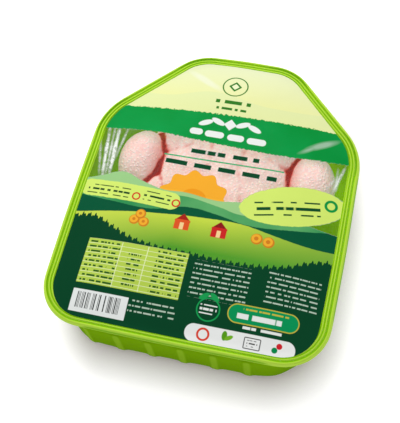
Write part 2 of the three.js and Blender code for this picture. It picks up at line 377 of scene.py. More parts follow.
class Wire:
    """One value in a node tree. Sums on it add the Math nodes."""

    def __init__(self, tree, socket):
        self.tree = tree
        self.socket = socket

    def node(self, kind, inputs=None, out=0, curve=None, **settings):
        """Adds any node: its settings first, then the values or links of its sockets."""
        made = self.tree.nodes.new(kind)
        for key, value in settings.items():
            setattr(made, key, value)
        if curve:
            line = made.mapping.curves[0]
            while len(line.points) < len(curve):
                line.points.new(0.5, 0.5)
            for point, place in zip(line.points, curve):
                point.location = place
            made.mapping.update()
        for key, value in (inputs or {}).items():
            if isinstance(value, Wire):
                self.tree.links.new(value.socket, made.inputs[key])
            elif isinstance(value, tuple) and len(value) == 3 and made.inputs[key].type == "RGBA":
                made.inputs[key].default_value = (*value, 1)
            else:
                made.inputs[key].default_value = value
        return Wire(self.tree, made.outputs[out])

    def sum(self, operation, *values, clamp=False):
        return self.node("ShaderNodeMath", dict(enumerate(values)), operation=operation, use_clamp=clamp)

    def vector(self, operation, *values, out=0):
        return self.node("ShaderNodeVectorMath", dict(enumerate(values)), out=out, operation=operation)

    def __add__(self, other):
        return self.sum("ADD", self, other)

    def __sub__(self, other):
        return self.sum("SUBTRACT", self, other)

    def __rsub__(self, other):
        return self.sum("SUBTRACT", other, self)

    def __mul__(self, other):
        return self.sum("MULTIPLY", self, other)

    def __truediv__(self, other):
        return self.sum("DIVIDE", self, other)

    def __neg__(self):
        return self.sum("MULTIPLY", self, -1.0)

    def above(self, other):
        """The larger of two values: where shapes are distances, what lies in both."""
        return self.sum("MAXIMUM", self, other)

    def below(self, other):
        """The smaller of two values: where shapes are distances, what lies in either."""
        return self.sum("MINIMUM", self, other)

    def inside(self, blur=0.4):
        """1 inside a shape and 0 outside it, from the distance to its edge."""
        return self.sum("MULTIPLY_ADD", self, -1 / blur, 0.5, clamp=True)

    def share(self, low, high):
        """0 at low, 1 at high and straight between them."""
        return self.sum("MULTIPLY_ADD", self, 1 / (high - low), -low / (high - low), clamp=True)

    def mixed(self, shade, amount):
        """This colour with another laid over it."""
        return self.node("ShaderNodeMix", {0: amount, 6: self, 7: shade}, out=2, data_type="RGBA")

    def between(self, first, second):
        """The first colour where this value is 0, the second where it is 1."""
        return self.node("ShaderNodeMix", {0: self, 6: first, 7: second}, out=2, data_type="RGBA")

    def unsigned(self):
        """This value without its sign."""
        return self.sum("ABSOLUTE", self)

    def ring(self, half_width):
        """A line along a shape's edge."""
        return (self.unsigned() - half_width).inside()

    def axis(self, out):
        """This vector's x, y or z, by its number."""
        return self.node("ShaderNodeSeparateXYZ", {0: self}, out=out)


def new_material(name):
    """A material with one Principled shader, and a wire from which its other nodes start."""
    material = bpy.data.materials.new(name)
    material.use_nodes = True
    tree = material.node_tree
    tree.nodes.clear()
    output = tree.nodes.new("ShaderNodeOutputMaterial")
    shader = tree.nodes.new("ShaderNodeBsdfPrincipled")
    tree.links.new(shader.outputs[0], output.inputs[0])
    start = Wire(tree, None)
    place = start.node("ShaderNodeTexCoord", out=3)
    return material, shader, output, place


def set_shader(shader, **values):
    """Sets the shader's sockets, or links them where the value is a wire."""
    for key, value in values.items():
        socket = shader.inputs[key.replace("_", " ").title().replace("Ior", "IOR")]
        if isinstance(value, Wire):
            shader.id_data.links.new(value.socket, socket)
        elif isinstance(value, tuple):
            socket.default_value = (*value, 1) if socket.type == "RGBA" else value
        else:
            socket.default_value = value


def stored(place, name):
    """A value that the piece stores for each of its vertices."""
    return place.node("ShaderNodeAttribute", out=2, attribute_name=name)


def noise(place, scale, detail=2.0, roughness=0.5):
    """Smooth random values round 0.5."""
    return place.node("ShaderNodeTexNoise", {"Vector": place, "Scale": scale, "Detail": detail,
                                             "Roughness": roughness})


def bump(height, distance, strength=1.0, under=None):
    """A bump from a height, on top of another bump if one is given."""
    inputs = {"Height": height, "Distance": distance, "Strength": strength}
    if under:
        inputs["Normal"] = under
    return height.node("ShaderNodeBump", inputs)


def lime_plastic(colours):
    """Glossy thin sheet: painted highlights on its ridges and ribs, painted shade in its grooves, on its outer
    wall and on its lip, and a painted glow on its inner side.
    """
    material, shader, _, place = new_material("lime_plastic")
    inner, lip, fold, rib = (stored(place, name) for name in ("inner", "lip", "fold", "rib"))
    height = place.axis(2)
    cloudy = noise(place, 18.0, 3.0).share(0.35, 0.65)
    shade = cloudy.between(tuple(c * 0.92 for c in colours.lime),
                           tuple(min(1.0, c * 1.06) for c in colours.lime))
    # The outer wall is painted shade: a darker copy of the lime, darker still towards its foot.
    wall = height.share(0.01, 0.045).between(tuple(c * 0.8 for c in colours.wall), tuple(colours.wall))
    shade = shade.mixed(wall, (1 - height.share(0.0525, 0.0545)) * (1 - inner))
    # Painted shade on the turned-down lip.
    shade = shade.mixed(tuple(colours.lip), lip)
    # Painted highlights on the rim's ridges and on the ribs, and painted shade in the rim's grooves.
    rim = height.share(0.053, 0.0545) * 0.9
    shade = shade.mixed(linear(192, 232, 76), (-fold).share(0.15, 0.9) * rim + rib * 0.16)
    shade = shade.mixed(linear(110, 168, 0), fold.share(0.15, 0.9) * rim * 0.75)
    ripple = bump(noise(place, 60.0, 2.0), 0.00012, 0.5)
    grain = bump(noise(place, 900.0, 2.0), 0.00003, 0.5, under=ripple)
    rough = noise(place, 45.0, 3.0).share(0.2, 0.9) * 0.12 + 0.24
    set_shader(shader, base_color=shade, roughness=rough, normal=grain,
               # Painted glow: the inner side emits a little of its own colour, in place of light reaching into
               # the well.
               emission_color=shade.mixed((0.0, 0.0, 0.0), 1 - inner), emission_strength=0.12,
               ior=1.45, specular_ior_level=0.0,
               coat_weight=height.share(0.0535, 0.056) * 0.2 + 0.02, coat_roughness=0.16)
    return material


# Lid film

FILM_INSET = 3.8 * MM
FILM_BASE = 57.75 * MM
DOME = 7 * MM
DOME_REACH = 56 * MM
WELL_STEPS = 4
WELL_STEP = 3.5 * MM
WELL_EDGE = 12 * MM
PRINT_SHIFT = 2.9 * MM
CORNER_SOFTNESS = 9 * MM


def edge_distance(point, sizes):
    """How far a point lies in from the sides of the rim, its corners rounded off."""
    corners = corner_points(sizes)
    half = Vector((abs(point.x), point.y))
    front, shoulder, far = (corners[k].xy for k in ("front", "shoulder", "far"))
    run = (far - shoulder).normalized()
    gaps = [front.x - half.x, half.y - front.y, far.y - half.y, (half - shoulder).dot(Vector((-run.y, run.x)))]
    return -CORNER_SOFTNESS * math.log(sum(math.exp(-gap / CORNER_SOFTNESS) for gap in gaps))


def dome_height(point, sizes):
    """The film's height: level over the flange and then up to the top of the dome."""
    reach = (edge_distance(point, sizes) - sizes.flange) / DOME_REACH
    return FILM_BASE + DOME * math.sin(math.pi / 2 * min(1, max(0, reach)))


def make_film(pack):
    """The film is drawn flat with the rim's outline, filled with a grid and pulled up to its dome."""
    sizes = pack.sizes
    film = outline_face("lid_film_sheet", sizes, FILM_BASE)
    pick("faces", lambda f: True)
    bpy.ops.mesh.inset(thickness=FILM_INSET)
    bpy.ops.mesh.select_all(action="INVERT")
    bpy.ops.mesh.delete(type="FACE")
    pick("faces", lambda f: True)
    bpy.ops.mesh.inset(thickness=sizes.flange - FILM_INSET)
    far_edge = sizes.length / 2 - sizes.flange
    bpy.ops.transform.resize(value=(1, 1 + PRINT_SHIFT / (2 * far_edge), 1), center_override=(0, far_edge, 0))
    for face in bmesh.from_edit_mesh(film.data).faces:
        face.material_index = 0 if face.select else 1
    for _ in range(WELL_STEPS):
        bpy.ops.mesh.inset(thickness=WELL_STEP)
    bpy.ops.mesh.delete(type="ONLY_FACE")
    pick("edges", lambda e: e.is_boundary and edge_distance(middle(e), sizes) > WELL_EDGE)
    bpy.ops.mesh.fill_grid(span=26)
    bpy.ops.mesh.select_all(action="SELECT")
    bpy.ops.mesh.normals_make_consistent(inside=False)
    bpy.ops.mesh.subdivide(number_cuts=1)
    shape = bmesh.from_edit_mesh(film.data)
    for vertex in shape.verts:
        vertex.co.z = dome_height(vertex.co, sizes)
    bmesh.update_edit_mesh(film.data)
    bpy.ops.object.mode_set(mode="OBJECT")
    modify(film, "SUBSURF", levels=1, render_levels=1)
    slack = bpy.data.textures.new("slack", "CLOUDS")
    slack.noise_scale = 0.03
    modify(film, "DISPLACE", texture=slack, strength=0.9 * MM, mid_level=0.5, texture_coords="LOCAL")
    modify(film, "SOLIDIFY", thickness=0.15 * MM, offset=0)
    bpy.ops.object.shade_smooth()
    film.visible_shadow = False
    finish_piece(film, printed_film(pack.colours), "lid_film")
    film.data.materials.append(clear_film())


# Print on the film, in millimetres across and along the pack

GLOSS = (0.95, 0.97, 0.95)
PRINT_SIDE = 110
PRINT_END = 140
ROW_STEP = 7.31
FLOWER = (-13, -17)
PETALS = 11.0


def flat_millimetres(place):
    """Where a place lies across and along the pack, its height left out."""
    return place.vector("MULTIPLY", place, (1000, 1000, 0))


def on_print(p, centre, turn=0, stretch=(1, 1)):
    """The print's coordinates seen from a centre, turned and stretched."""
    return p.node("ShaderNodeMapping", {"Vector": p, "Location": (*centre, 0), "Scale": (*stretch, 1),
                                        "Rotation": (0, 0, math.radians(turn))}, vector_type="TEXTURE")


def disc(p, centre, radius):
    """Distance to a circle's edge, below 0 inside it. The other shapes work alike."""
    return p.vector("DISTANCE", p, (*centre, 0), out=1) - radius


def oval(p, centre, half, turn=0):
    q = on_print(p, centre, turn, half)
    return (q.vector("LENGTH", q, out=1) - 1.0) * min(half)


def slab(p, centre, half, corner=0.5, turn=0):
    """A rectangle with rounded corners."""
    q = on_print(p, centre, turn)
    q = q.vector("ABSOLUTE", q)
    q = q.vector("MAXIMUM", q.vector("SUBTRACT", q, (half[0] - corner, half[1] - corner, 0)), (0, 0, 0))
    return q.vector("LENGTH", q, out=1) - corner


def layered(art, *layers):
    """The print with more fields of colour laid over it, each with the share of it that shows."""
    for shade, shown in layers:
        art = art.mixed(shade, shown)
    return art


def ridge(x, y, points):
    """Below a line drawn from side to side through the given points: its points are in millimetres."""
    curve = [(px / (2 * PRINT_SIDE) + 0.5, py / (2 * PRINT_END) + 0.5) for px, py in points]
    line = x.node("ShaderNodeFloatCurve", {"Value": x.share(-PRINT_SIDE, PRINT_SIDE)}, curve=curve)
    return y - (line - 0.5) * (2 * PRINT_END)


def bars(p, centre, half, pitch, thick=0.5, turn=0, gaps=0.42, word=0.22, seed=0):
    """Rows of broken bars in the place of small print."""
    q = on_print(p, centre, turn)
    row = q.axis(1) / pitch + 0.5
    bar = ((row.sum("FRACT", row) - 0.5).unsigned() - thick / 2) * pitch
    spot = q.node("ShaderNodeCombineXYZ", {0: q.axis(0) * word, 1: row.sum("FLOOR", row) * ROW_STEP + seed})
    broken = noise(spot, 1.0, 0.0).share(gaps, gaps + 0.04)
    return bar.above(slab(p, centre, half, 0.2, turn)).inside(0.35) * broken


WHITE = linear(240, 245, 240)
FAR_HILLS = [(-110, 92), (-60, 84), (-20, 92), (30, 84), (110, 95)]
LEAF = linear(217, 242, 114)
BAND_FAR = [(-110, 67), (-89, 68), (-50, 68.5), (-10, 69.2), (40, 70.5), (84, 72), (110, 72)]
BAND_NEAR = [(-110, 43), (-75, 43), (-53, 43), (-24, 41), (10, 39.5), (47, 38.5), (75, 41), (110, 45)]
PALE_HILL = [(-110, -9), (-92, -4), (-74, 1), (-58, -5), (-39, -10), (-20, -9.5), (6, -12), (30, -10),
             (60, -16), (110, -22)]
MIDDLE_HILL = [(-110, -14), (-80, -20), (-45, -17), (-20, -13), (8, -17), (30, -21), (60, -13), (84, -8),
               (110, -12)]
DARK_HILL = [(-110, -22), (-75, -27), (-45, -29), (-15, -22), (8, -24), (35, -29), (70, -26), (110, -17)]
MEADOW = [(-110, -40), (-75, -36), (-49, -33), (0, -29), (30, -29), (58, -34), (84, -37), (110, -36)]
HEDGE = [(-110, -45), (-88, -41), (-70, -49), (-50, -57), (0, -61), (40, -62), (70, -57), (90, -48),
         (110, -44)]


def hills(art, x, y, p, deep):
    """The near field: hills, a meadow and a dark hedge, each with its own slow change of tone."""
    shade = noise(p, 0.02, 2.0).share(0.35, 0.65)
    wave = (noise(p, 0.35, 2.0) - 0.5) * 2.0
    art = art.mixed(linear(158, 208, 138), ridge(x, y, PALE_HILL).inside())
    middle_hill = ridge(x, y, MIDDLE_HILL) + wave * 0.3
    art = art.mixed(shade.between(linear(52, 145, 84), linear(92, 172, 104)), middle_hill.inside())
    art = art.mixed(linear(2, 88, 58), (ridge(x, y, DARK_HILL) + wave * 0.4).inside())
    meadow = y.share(-58, -29).between(linear(84, 158, 46), linear(206, 226, 76))
    meadow = meadow.mixed(linear(92, 164, 58), x.share(0, 100) * 0.6)
    meadow = meadow.mixed(linear(222, 236, 92), x.share(-20, -95) * 0.55)
    art = art.mixed(meadow, (ridge(x, y, MEADOW) + wave * 0.3).inside())
    leaves = x.sum("SINE", x * 1.15) * 1.4 + x.sum("SINE", x * 2.9 + 0.7) * 0.8
    return art.mixed(deep, (ridge(x, y, HEDGE) - leaves + wave).inside())


def farm(art, p):
    """Hay bales and two small barns on the meadow."""
    straw, shade = linear(248, 178, 52), linear(214, 128, 38)
    for cx, cy, r in ((-54, -40.5, 4.2), (-46, -41.5, 4.2), (-50, -35, 4.2), (44, -39, 4.6),
                      (53.5, -40.2, 4.6)):
        art = art.mixed(shade, disc(p, (cx, cy), r).inside())
        art = art.mixed(straw, disc(p, (cx - 0.4, cy + 0.4), r - 0.9).inside())
        art = art.mixed(shade, disc(p, (cx - 0.4, cy + 0.4), r - 2.9).inside())
    for cx, cy, wall, roof in ((-16, -38, linear(226, 88, 42), linear(168, 40, 30)),
                               (14, -39.5, linear(206, 40, 40), linear(140, 26, 30))):
        art = art.mixed(roof, slab(p, (cx, cy + 3.2), (4.6, 4.6), 0.4, 45).inside())
        art = art.mixed(wall, slab(p, (cx, cy), (6, 4.4), 0.4).inside())
        art = art.mixed(linear(250, 214, 150), slab(p, (cx, cy - 1.2), (1.6, 3.0), 0.4).inside())
    return art


def hand_drawn(p):
    """A small waver, in millimetres, for the edge of a shape."""
    return (noise(p, 0.3) - 0.5) * 1.2


def right_panel(p):
    """The leaf shape at the right, which reaches into the clear band."""
    return oval(p, (66, -5), (42, 17.5), 13) + hand_drawn(p)


def printed_panels(art, p):
    """The lime leaf shapes at the sides, with small rings and bars."""
    art = art.mixed(LEAF, (slab(p, (-64, -17.5), (42, 7.6), 7.0, -3) + hand_drawn(p)).inside())
    for centre in ((-58, -20), (-25, -20.5)):
        art = art.mixed(linear(214, 44, 40), disc(p, centre, 2.9).ring(0.6))
    return layered(
        art,
        (linear(24, 70, 40), bars(p, (-82, -17.5), (18, 4.2), 4.2, 0.42, -3, seed=2)),
        (linear(24, 70, 40), bars(p, (-41, -18.5), (11, 4.2), 4.2, 0.4, -3, seed=5)),
        (LEAF, right_panel(p).inside()),
        (linear(10, 78, 44), bars(p, (62, -8), (26, 6.2), 6.2, 0.44, 12, seed=9, word=0.13)),
        (linear(10, 150, 70), disc(p, (95, 3), 4.2).ring(1.1)))


def printed_table(art, p):
    """A ruled panel with bars, a white box with upright bars, and rows of fine bars beside them."""
    fine, line = linear(44, 92, 36), linear(236, 246, 190)
    table = slab(p, (-44.5, -80.5), (40.5, 19), 0.4).inside()
    row = (p.axis(1) + 61.6) / 4.1
    stripe = noise(p.node("ShaderNodeCombineXYZ", {0: p.axis(0) * 1.05}), 1.0, 0.0).share(0.5, 0.54)
    return layered(
        art,
        (linear(186, 214, 84), table),
        (fine, bars(p, (-70, -80.5), (13, 18), 4.1, 0.36, seed=3, word=0.5)),
        (fine, bars(p, (-45, -83), (5, 14), 4.1, 0.36, seed=4, word=0.7)),
        (fine, bars(p, (-17, -80.5), (11, 18), 4.1, 0.36, seed=6, word=0.5)),
        (line, (row.sum("FRACT", row) - 0.1).inside(0.06) * table),
        (line, slab(p, (-57, -80.5), (0.3, 18.6), 0.2).inside()),
        (line, slab(p, (-36, -80.5), (0.3, 18.6), 0.2).inside()),
        (linear(238, 242, 240), slab(p, (-63, -113.5), (22, 8.8), 0.4).inside()),
        (linear(34, 38, 36), stripe * slab(p, (-63, -112.8), (18, 6.2), 0.2).inside()))


def fine_print(art, p):
    """Three blocks of fine bars on the dark field."""
    pale = linear(205, 226, 206)
    for centre, half, pitch, seed in (((-22, -110), (18, 6), 4.0, 11), ((24, -80), (22, 15), 3.9, 12),
                                      ((79, -76), (20, 12.5), 3.9, 13)):
        art = art.mixed(pale, bars(p, centre, half, pitch, 0.3, seed=seed, word=0.55, gaps=0.4) * 0.8)
    return art


def marks(art, p):
    """A leafy ring, a gold-edged label with bars and a white strip with four plain marks."""
    green, gold, grey = linear(30, 160, 84), linear(206, 190, 70), linear(60, 60, 60)
    label = slab(p, (61.5, -100.5), (27, 7.4), 7.3)
    return layered(
        art,
        (green, disc(p, (20, -102), 8.6).ring(0.55)),
        (green, oval(p, (15, -92.5), (4.4, 1.9), 35).inside()),
        (green, oval(p, (23, -92), (4.4, 1.9), -35).inside()),
        (WHITE, bars(p, (20, -102), (6.4, 3.6), 3.6, 0.5, seed=21, word=0.3)),
        (gold, label.inside()),
        (linear(2, 150, 88), (label + 0.8).inside()),
        (gold, bars(p, (63, -96.4), (17, 1.4), 3.0, 0.42, seed=22, word=0.4)),
        (WHITE, bars(p, (60, -102), (18, 2.4), 6.0, 0.66, seed=23, word=0.2)),
        (WHITE, bars(p, (62, -110), (15, 1.3), 3.4, 0.6, seed=24, word=0.22)),
        (linear(244, 246, 244), slab(p, (47.5, -120.6), (41.5, 6.7), 6.6).inside()),
        (linear(226, 70, 50), disc(p, (20, -120.6), 4.2).ring(0.8)),
        (linear(90, 160, 30), oval(p, (36, -118.6), (2.0, 3.6)).inside()),
        (linear(120, 184, 40), oval(p, (39.4, -119.6), (3.4, 1.6), 30).inside()),
        (grey, slab(p, (57, -120.6), (6, 4.0), 0.6).ring(0.35)),
        (grey, bars(p, (57, -120.6), (4, 2.4), 2.4, 0.4, seed=25, word=0.5)),
        (linear(0, 140, 80), disc(p, (74, -122), 2.2).inside()),
        (linear(214, 40, 48), disc(p, (77, -118.6), 2.2).inside()))


def far_print(art, x, y, p):
    """The far end's cream field: pale hills, a ring with a diamond and two rows of bars."""
    green = linear(52, 122, 40)
    return layered(
        art,
        (linear(222, 236, 178), ridge(x, y, FAR_HILLS).inside(1.0) * 0.5),
        (green, disc(p, (-3, 101), 10.5).ring(0.55)),
        (green, slab(p, (-3, 101), (4, 4), 0.4, 45).inside()),
        (linear(240, 246, 200), slab(p, (-3, 101), (2.4, 2.4), 0.4, 45).inside()),
        (green, bars(p, (-1, 83), (15, 2), 6.0, 0.62, seed=31, word=0.16, gaps=0.38)),
        (green, bars(p, (-1, 75.8), (13, 1.5), 5.0, 0.5, seed=32, word=0.25)))


def band_ornament(art, p):
    """White leaves and diamonds in a row on the broad band."""
    for cx, cy, turn in ((-19, 59, 24), (-9, 61.5, -24), (12, 61.5, 24), (22, 59.5, -24)):
        art = art.mixed(WHITE, oval(p, (cx, cy), (6.2, 2.5), turn).inside())
    art = art.mixed(WHITE, slab(p, (1.5, 60), (3.8, 3.8), 0.4, 45).inside())
    for cx, half in ((-25, 5.5), (-9.5, 8), (8.5, 7), (26, 8)):
        art = art.mixed(WHITE, slab(p, (cx, 48.4 - cx * 0.03), (half, 3.0), 2.9).inside())
    return art


def printed_film(colours):
    """Clear glossy film with the print on it. A clear place lets all but a little of the light through."""
    material, shader, output, place = new_material("printed_film")
    p = flat_millimetres(place)
    x, y = p.axis(0), p.axis(1)
    cream = y.share(74, 125).between(tuple(colours.cream), linear(234, 241, 196))
    torn = (noise(p, 0.42, 4.0, 0.65) - 0.5) * 5.0
    band_near = -ridge(x, y, BAND_NEAR) + torn * 0.8
    art = far_print(cream, x, y, p)
    band = noise(p, 0.018, 3.0).share(0.35, 0.7).between(tuple(colours.band), linear(18, 158, 76))
    art = band_ornament(art.mixed(band, (ridge(x, y, BAND_FAR) + torn).inside()), p)
    flower = on_print(p, FLOWER)
    turn = flower.sum("ARCTAN2", flower.axis(1), flower.axis(0))
    petals = disc(p, FLOWER, 27.5) - turn.sum("COSINE", turn * PETALS) * 2.0
    rule = slab(p, (4, 23.2), (49.5, 0.6), 0.5, 0.6)
    title = bars(p, (3, 30), (29, 2.2), 9.0, 0.44, 0, seed=41, word=0.12).above(
        bars(p, (3, 16.4), (46, 2.2), 9.0, 0.46, -1, seed=43, word=0.1, gaps=0.36))
    art = layered(
        art,
        (linear(253, 176, 50), petals.inside()),
        (linear(246, 156, 34), disc(p, FLOWER, 12).inside()),
        (linear(64, 178, 108), rule.inside()),
        (linear(10, 74, 44), title))
    art = hills(art, x, y, p, tuple(colours.field))
    for part in (farm, printed_panels, printed_table, fine_print, marks):
        art = part(art, p)
    near = ridge(x, y, PALE_HILL) + torn * 0.25
    ink = near.below(band_near).below(petals).below(rule).below(right_panel(p)).inside().above(title)
    clear = 1 - ink
    # Painted reflections: white glare streaks laid into the film's colour and opacity.
    painted_glare = painted_film_glare(p, clear)
    gloss = p.node("ShaderNodeLayerWeight", {"Blend": 0.3}, out=0)
    seen = (clear * gloss * 0.3).above(ink).above(painted_glare * 0.75)
    shine = art.mixed(GLOSS, clear).mixed(GLOSS, painted_glare)
    crinkle = bump(noise(place, 42.0, 3.0), 0.0007, 0.5)
    fine = bump(noise(place, 160.0, 2.0), 0.00012, 0.35, under=crinkle)
    rough = noise(place, 30.0, 2.0).share(0.2, 0.8) * 0.1 + 0.16
    set_shader(shader, base_color=shine, roughness=rough, metallic=clear * (1 - painted_glare), normal=fine,
               ior=1.45, specular_ior_level=0.12)
    see_through(place, shader, output, seen)
    return material


def see_through(place, shader, output, seen):
    """Shows the shader by a share and lets the rest of the light through."""
    through = Wire(place.tree, place.tree.nodes.new("ShaderNodeBsdfTransparent").outputs[0])
    mix = place.node("ShaderNodeMixShader", {0: seen, 1: through, 2: Wire(place.tree, shader.outputs[0])})
    place.tree.links.new(mix.socket, output.inputs[0])


def clear_film():
    """The bare glossy film that is welded to the rim."""
    material, shader, output, place = new_material("clear_film")
    gloss = place.node("ShaderNodeLayerWeight", {"Blend": 0.3}, out=0)
    set_shader(shader, base_color=GLOSS, metallic=1.0,
               roughness=noise(place, 60.0, 2.0).share(0.2, 0.8) * 0.12 + 0.12,
               normal=bump(noise(place, 90.0, 3.0), 0.0006, 0.5))
    see_through(place, shader, output, gloss * 0.07)
    return material


def painted_film_glare(p, clear):
    """Painted white reflections: streaks where the film is pulled down beside the well, and glare patches on
    the print.
    """
    waver = (noise(p, 0.11, 2.0) - 0.5) * 3.4
    marks = p.node("ShaderNodeMath", {0: 0.0, 1: 0.0})
    for centre, half, turn, strength in (((-95.5, 19), (1.5, 24), 8.5, 1.0), ((-92, 20), (1.0, 22), 6, 0.8),
                                         ((-88.5, 20), (1.7, 24), 5, 1.0), ((-84, 30), (1.0, 13), -6, 0.6),
                                         ((-99, 12), (0.9, 14), 14, 0.6), ((97, 28), (1.1, 11), -14, 1.0),
                                         ((95.5, 26), (1.0, 7), 3, 0.8), ((92, 24), (0.8, 7), -24, 0.6)):
        marks = marks.above((oval(p, centre, half, turn) + waver * 0.45).inside(1.6) * strength)
    marks = marks * noise(p, 0.3, 3.0).share(0.2, 0.5) * clear
    for centre, half, turn in (((79, 57), (12, 2.6), 32), ((70, 50.5), (7, 1.4), 36),
                               ((-30, 104), (16, 3), -30)):
        marks = marks.above((oval(p, centre, half, turn) + waver * 0.2).inside(2.4) * 0.36)
    return marks


# Bird

LUMPS = [
    ((3.5, 6, 29), (57, 88, 26), 0),
    ((3.5, 14, 31), (50, 70, 30), 0),
    ((-20, 20, 33), (37, 54, 27.5), 0),
    ((27, 20, 33), (37, 54, 27.5), 0),
    ((-28, 48, 33), (32, 34, 25.5), 0),
    ((35, 48, 33), (32, 34, 25.5), 0),
    ((-68, 27, 40), (20.5, 28, 20), -3),
    ((75, 28, 40), (20.5, 28, 20), 3),
    ((72, 12, 38), (16, 20, 17.5), -12),
    ((-49, -8, 33), (15, 32, 21), -8),
    ((56, -8, 33), (15, 32, 21), 8),
    ((-46, 66, 32), (17, 17, 16), 0),
    ((52, 66, 32), (17, 17, 16), 0),
    ((3.5, 88, 30), (20, 12, 16), 0),
    ((3.5, -82, 33), (15, 12, 12), 0),
]
LIMBS = [
    ((-65, 20, 34), (-24, -72, 40), 13.5, 10.5),
    ((73, 22, 34), (31, -72, 40), 14, 10.5),
    ((-44, 64, 34), (-72, 40, 20), 14, 11.5),
    ((51, 64, 34), (79, 40, 20), 14, 11.5),
    ((-72, 40, 20), (-56, 78, 16), 11, 8),
    ((79, 40, 20), (63, 78, 16), 11, 8),
]
LIMB_BEADS = 7
BIRD_MIDDLE = 3.5 * MM
KNEE_SIDE = 56
KNEE_FOLD = 11
KNEE_FRONT = -10 * MM
UPPER_SKIN = 38 * MM
TRAY_FLOOR = 3.4 * MM
VOXEL = 1.5 * MM


def ball(centre, radii, turn):
    """A ball stretched to three half-widths, in millimetres, and turned about the upright."""
    alone()
    bpy.ops.mesh.primitive_uv_sphere_add(segments=32, ring_count=16, radius=1, scale=[r * MM for r in radii],
                                         location=[c * MM for c in centre],
                                         rotation=(0, 0, math.radians(turn)))
    return bpy.context.object


def bird_balls():
    """The lumps of the body, and the limbs as rows of balls."""
    balls = [ball(centre, radii, turn) for centre, radii, turn in LUMPS]
    for start, end, big, small in LIMBS:
        for bead in range(LIMB_BEADS):
            t = bead / (LIMB_BEADS - 1)
            radius = big + (small - big) * t
            centre = [a + (b - a) * t for a, b in zip(start, end)]
            balls.append(ball(centre, (radius,) * 3, 0))
    return balls


def fold_depth(piece, rounds):
    """How deep each vertex lies in a fold: how far its smoothed place lies outside the skin."""
    mesh = piece.data
    count = len(mesh.vertices)
    places = np.empty(count * 3)
    mesh.vertices.foreach_get("co", places)
    places = places.reshape(-1, 3)
    normals = np.empty(count * 3)
    mesh.vertices.foreach_get("normal", normals)
    ends = np.empty(len(mesh.edges) * 2, dtype=int)
    mesh.edges.foreach_get("vertices", ends)
    ends = ends.reshape(-1, 2)
    neighbours = np.bincount(ends.ravel(), minlength=count)[:, None]
    smooth = places.copy()
    for _ in range(rounds):
        total = np.zeros_like(smooth)
        np.add.at(total, ends[:, 0], smooth[ends[:, 1]])
        np.add.at(total, ends[:, 1], smooth[ends[:, 0]])
        smooth = total / neighbours
    return ((smooth - places) * normals.reshape(-1, 3)).sum(axis=1)


def store_flush_and_shade(piece):
    """Marks the redder skin, with painted shade: in the folds, and where each knee lies against the breast,
    most on the side that faces the breast.
    """
    flush = np.zeros(len(piece.data.vertices))
    for rounds, full, share in ((6, 0.4, 0.55), (20, 1.3, 0.4), (90, 5.0, 0.3)):
        flush += np.clip(fold_depth(piece, rounds) / (full * MM), 0, 1) * share
    for vertex in piece.data.vertices:
        aside = (vertex.co.x - BIRD_MIDDLE) / MM
        if vertex.co.z > UPPER_SKIN and vertex.co.y > KNEE_FRONT:
            amount = 0.5 if vertex.normal.x * aside < 0 else 0.2
            flush[vertex.index] += amount * max(0, 1 - abs(abs(aside) - KNEE_SIDE) / KNEE_FOLD)
    store(piece, "flush", np.clip(flush, 0, 1).astype(np.float32))


def make_bird(pack):
    """The balls are joined, remeshed into one skin, smoothed, wrinkled and set flat on the tray's floor."""
    balls = bird_balls()
    alone()
    for each in balls:
        each.select_set(True)
    bpy.context.view_layer.objects.active = balls[0]
    bpy.ops.object.join()
    bird = active("bird_skin")
    bpy.ops.object.transform_apply(location=True, rotation=True, scale=True)
    modify(bird, "REMESH", mode="VOXEL", voxel_size=VOXEL, use_smooth_shade=True)
    modify(bird, "SMOOTH", factor=0.5, iterations=3)
    folds = bpy.data.textures.new("skin_folds", "CLOUDS")
    folds.noise_scale = 0.014
    modify(bird, "DISPLACE", texture=folds, strength=1.3 * MM, mid_level=0.5, texture_coords="LOCAL")
    bpy.ops.object.mode_set(mode="EDIT")
    pick("verts", lambda v: v.co.z < TRAY_FLOOR)
    bpy.ops.transform.resize(value=(1, 1, 0), center_override=(0, 0, TRAY_FLOOR))
    bpy.ops.object.mode_set(mode="OBJECT")
    store_flush_and_shade(bird)
    bpy.ops.object.shade_smooth()
    finish_piece(bird, chicken_skin(pack.colours), "chicken")


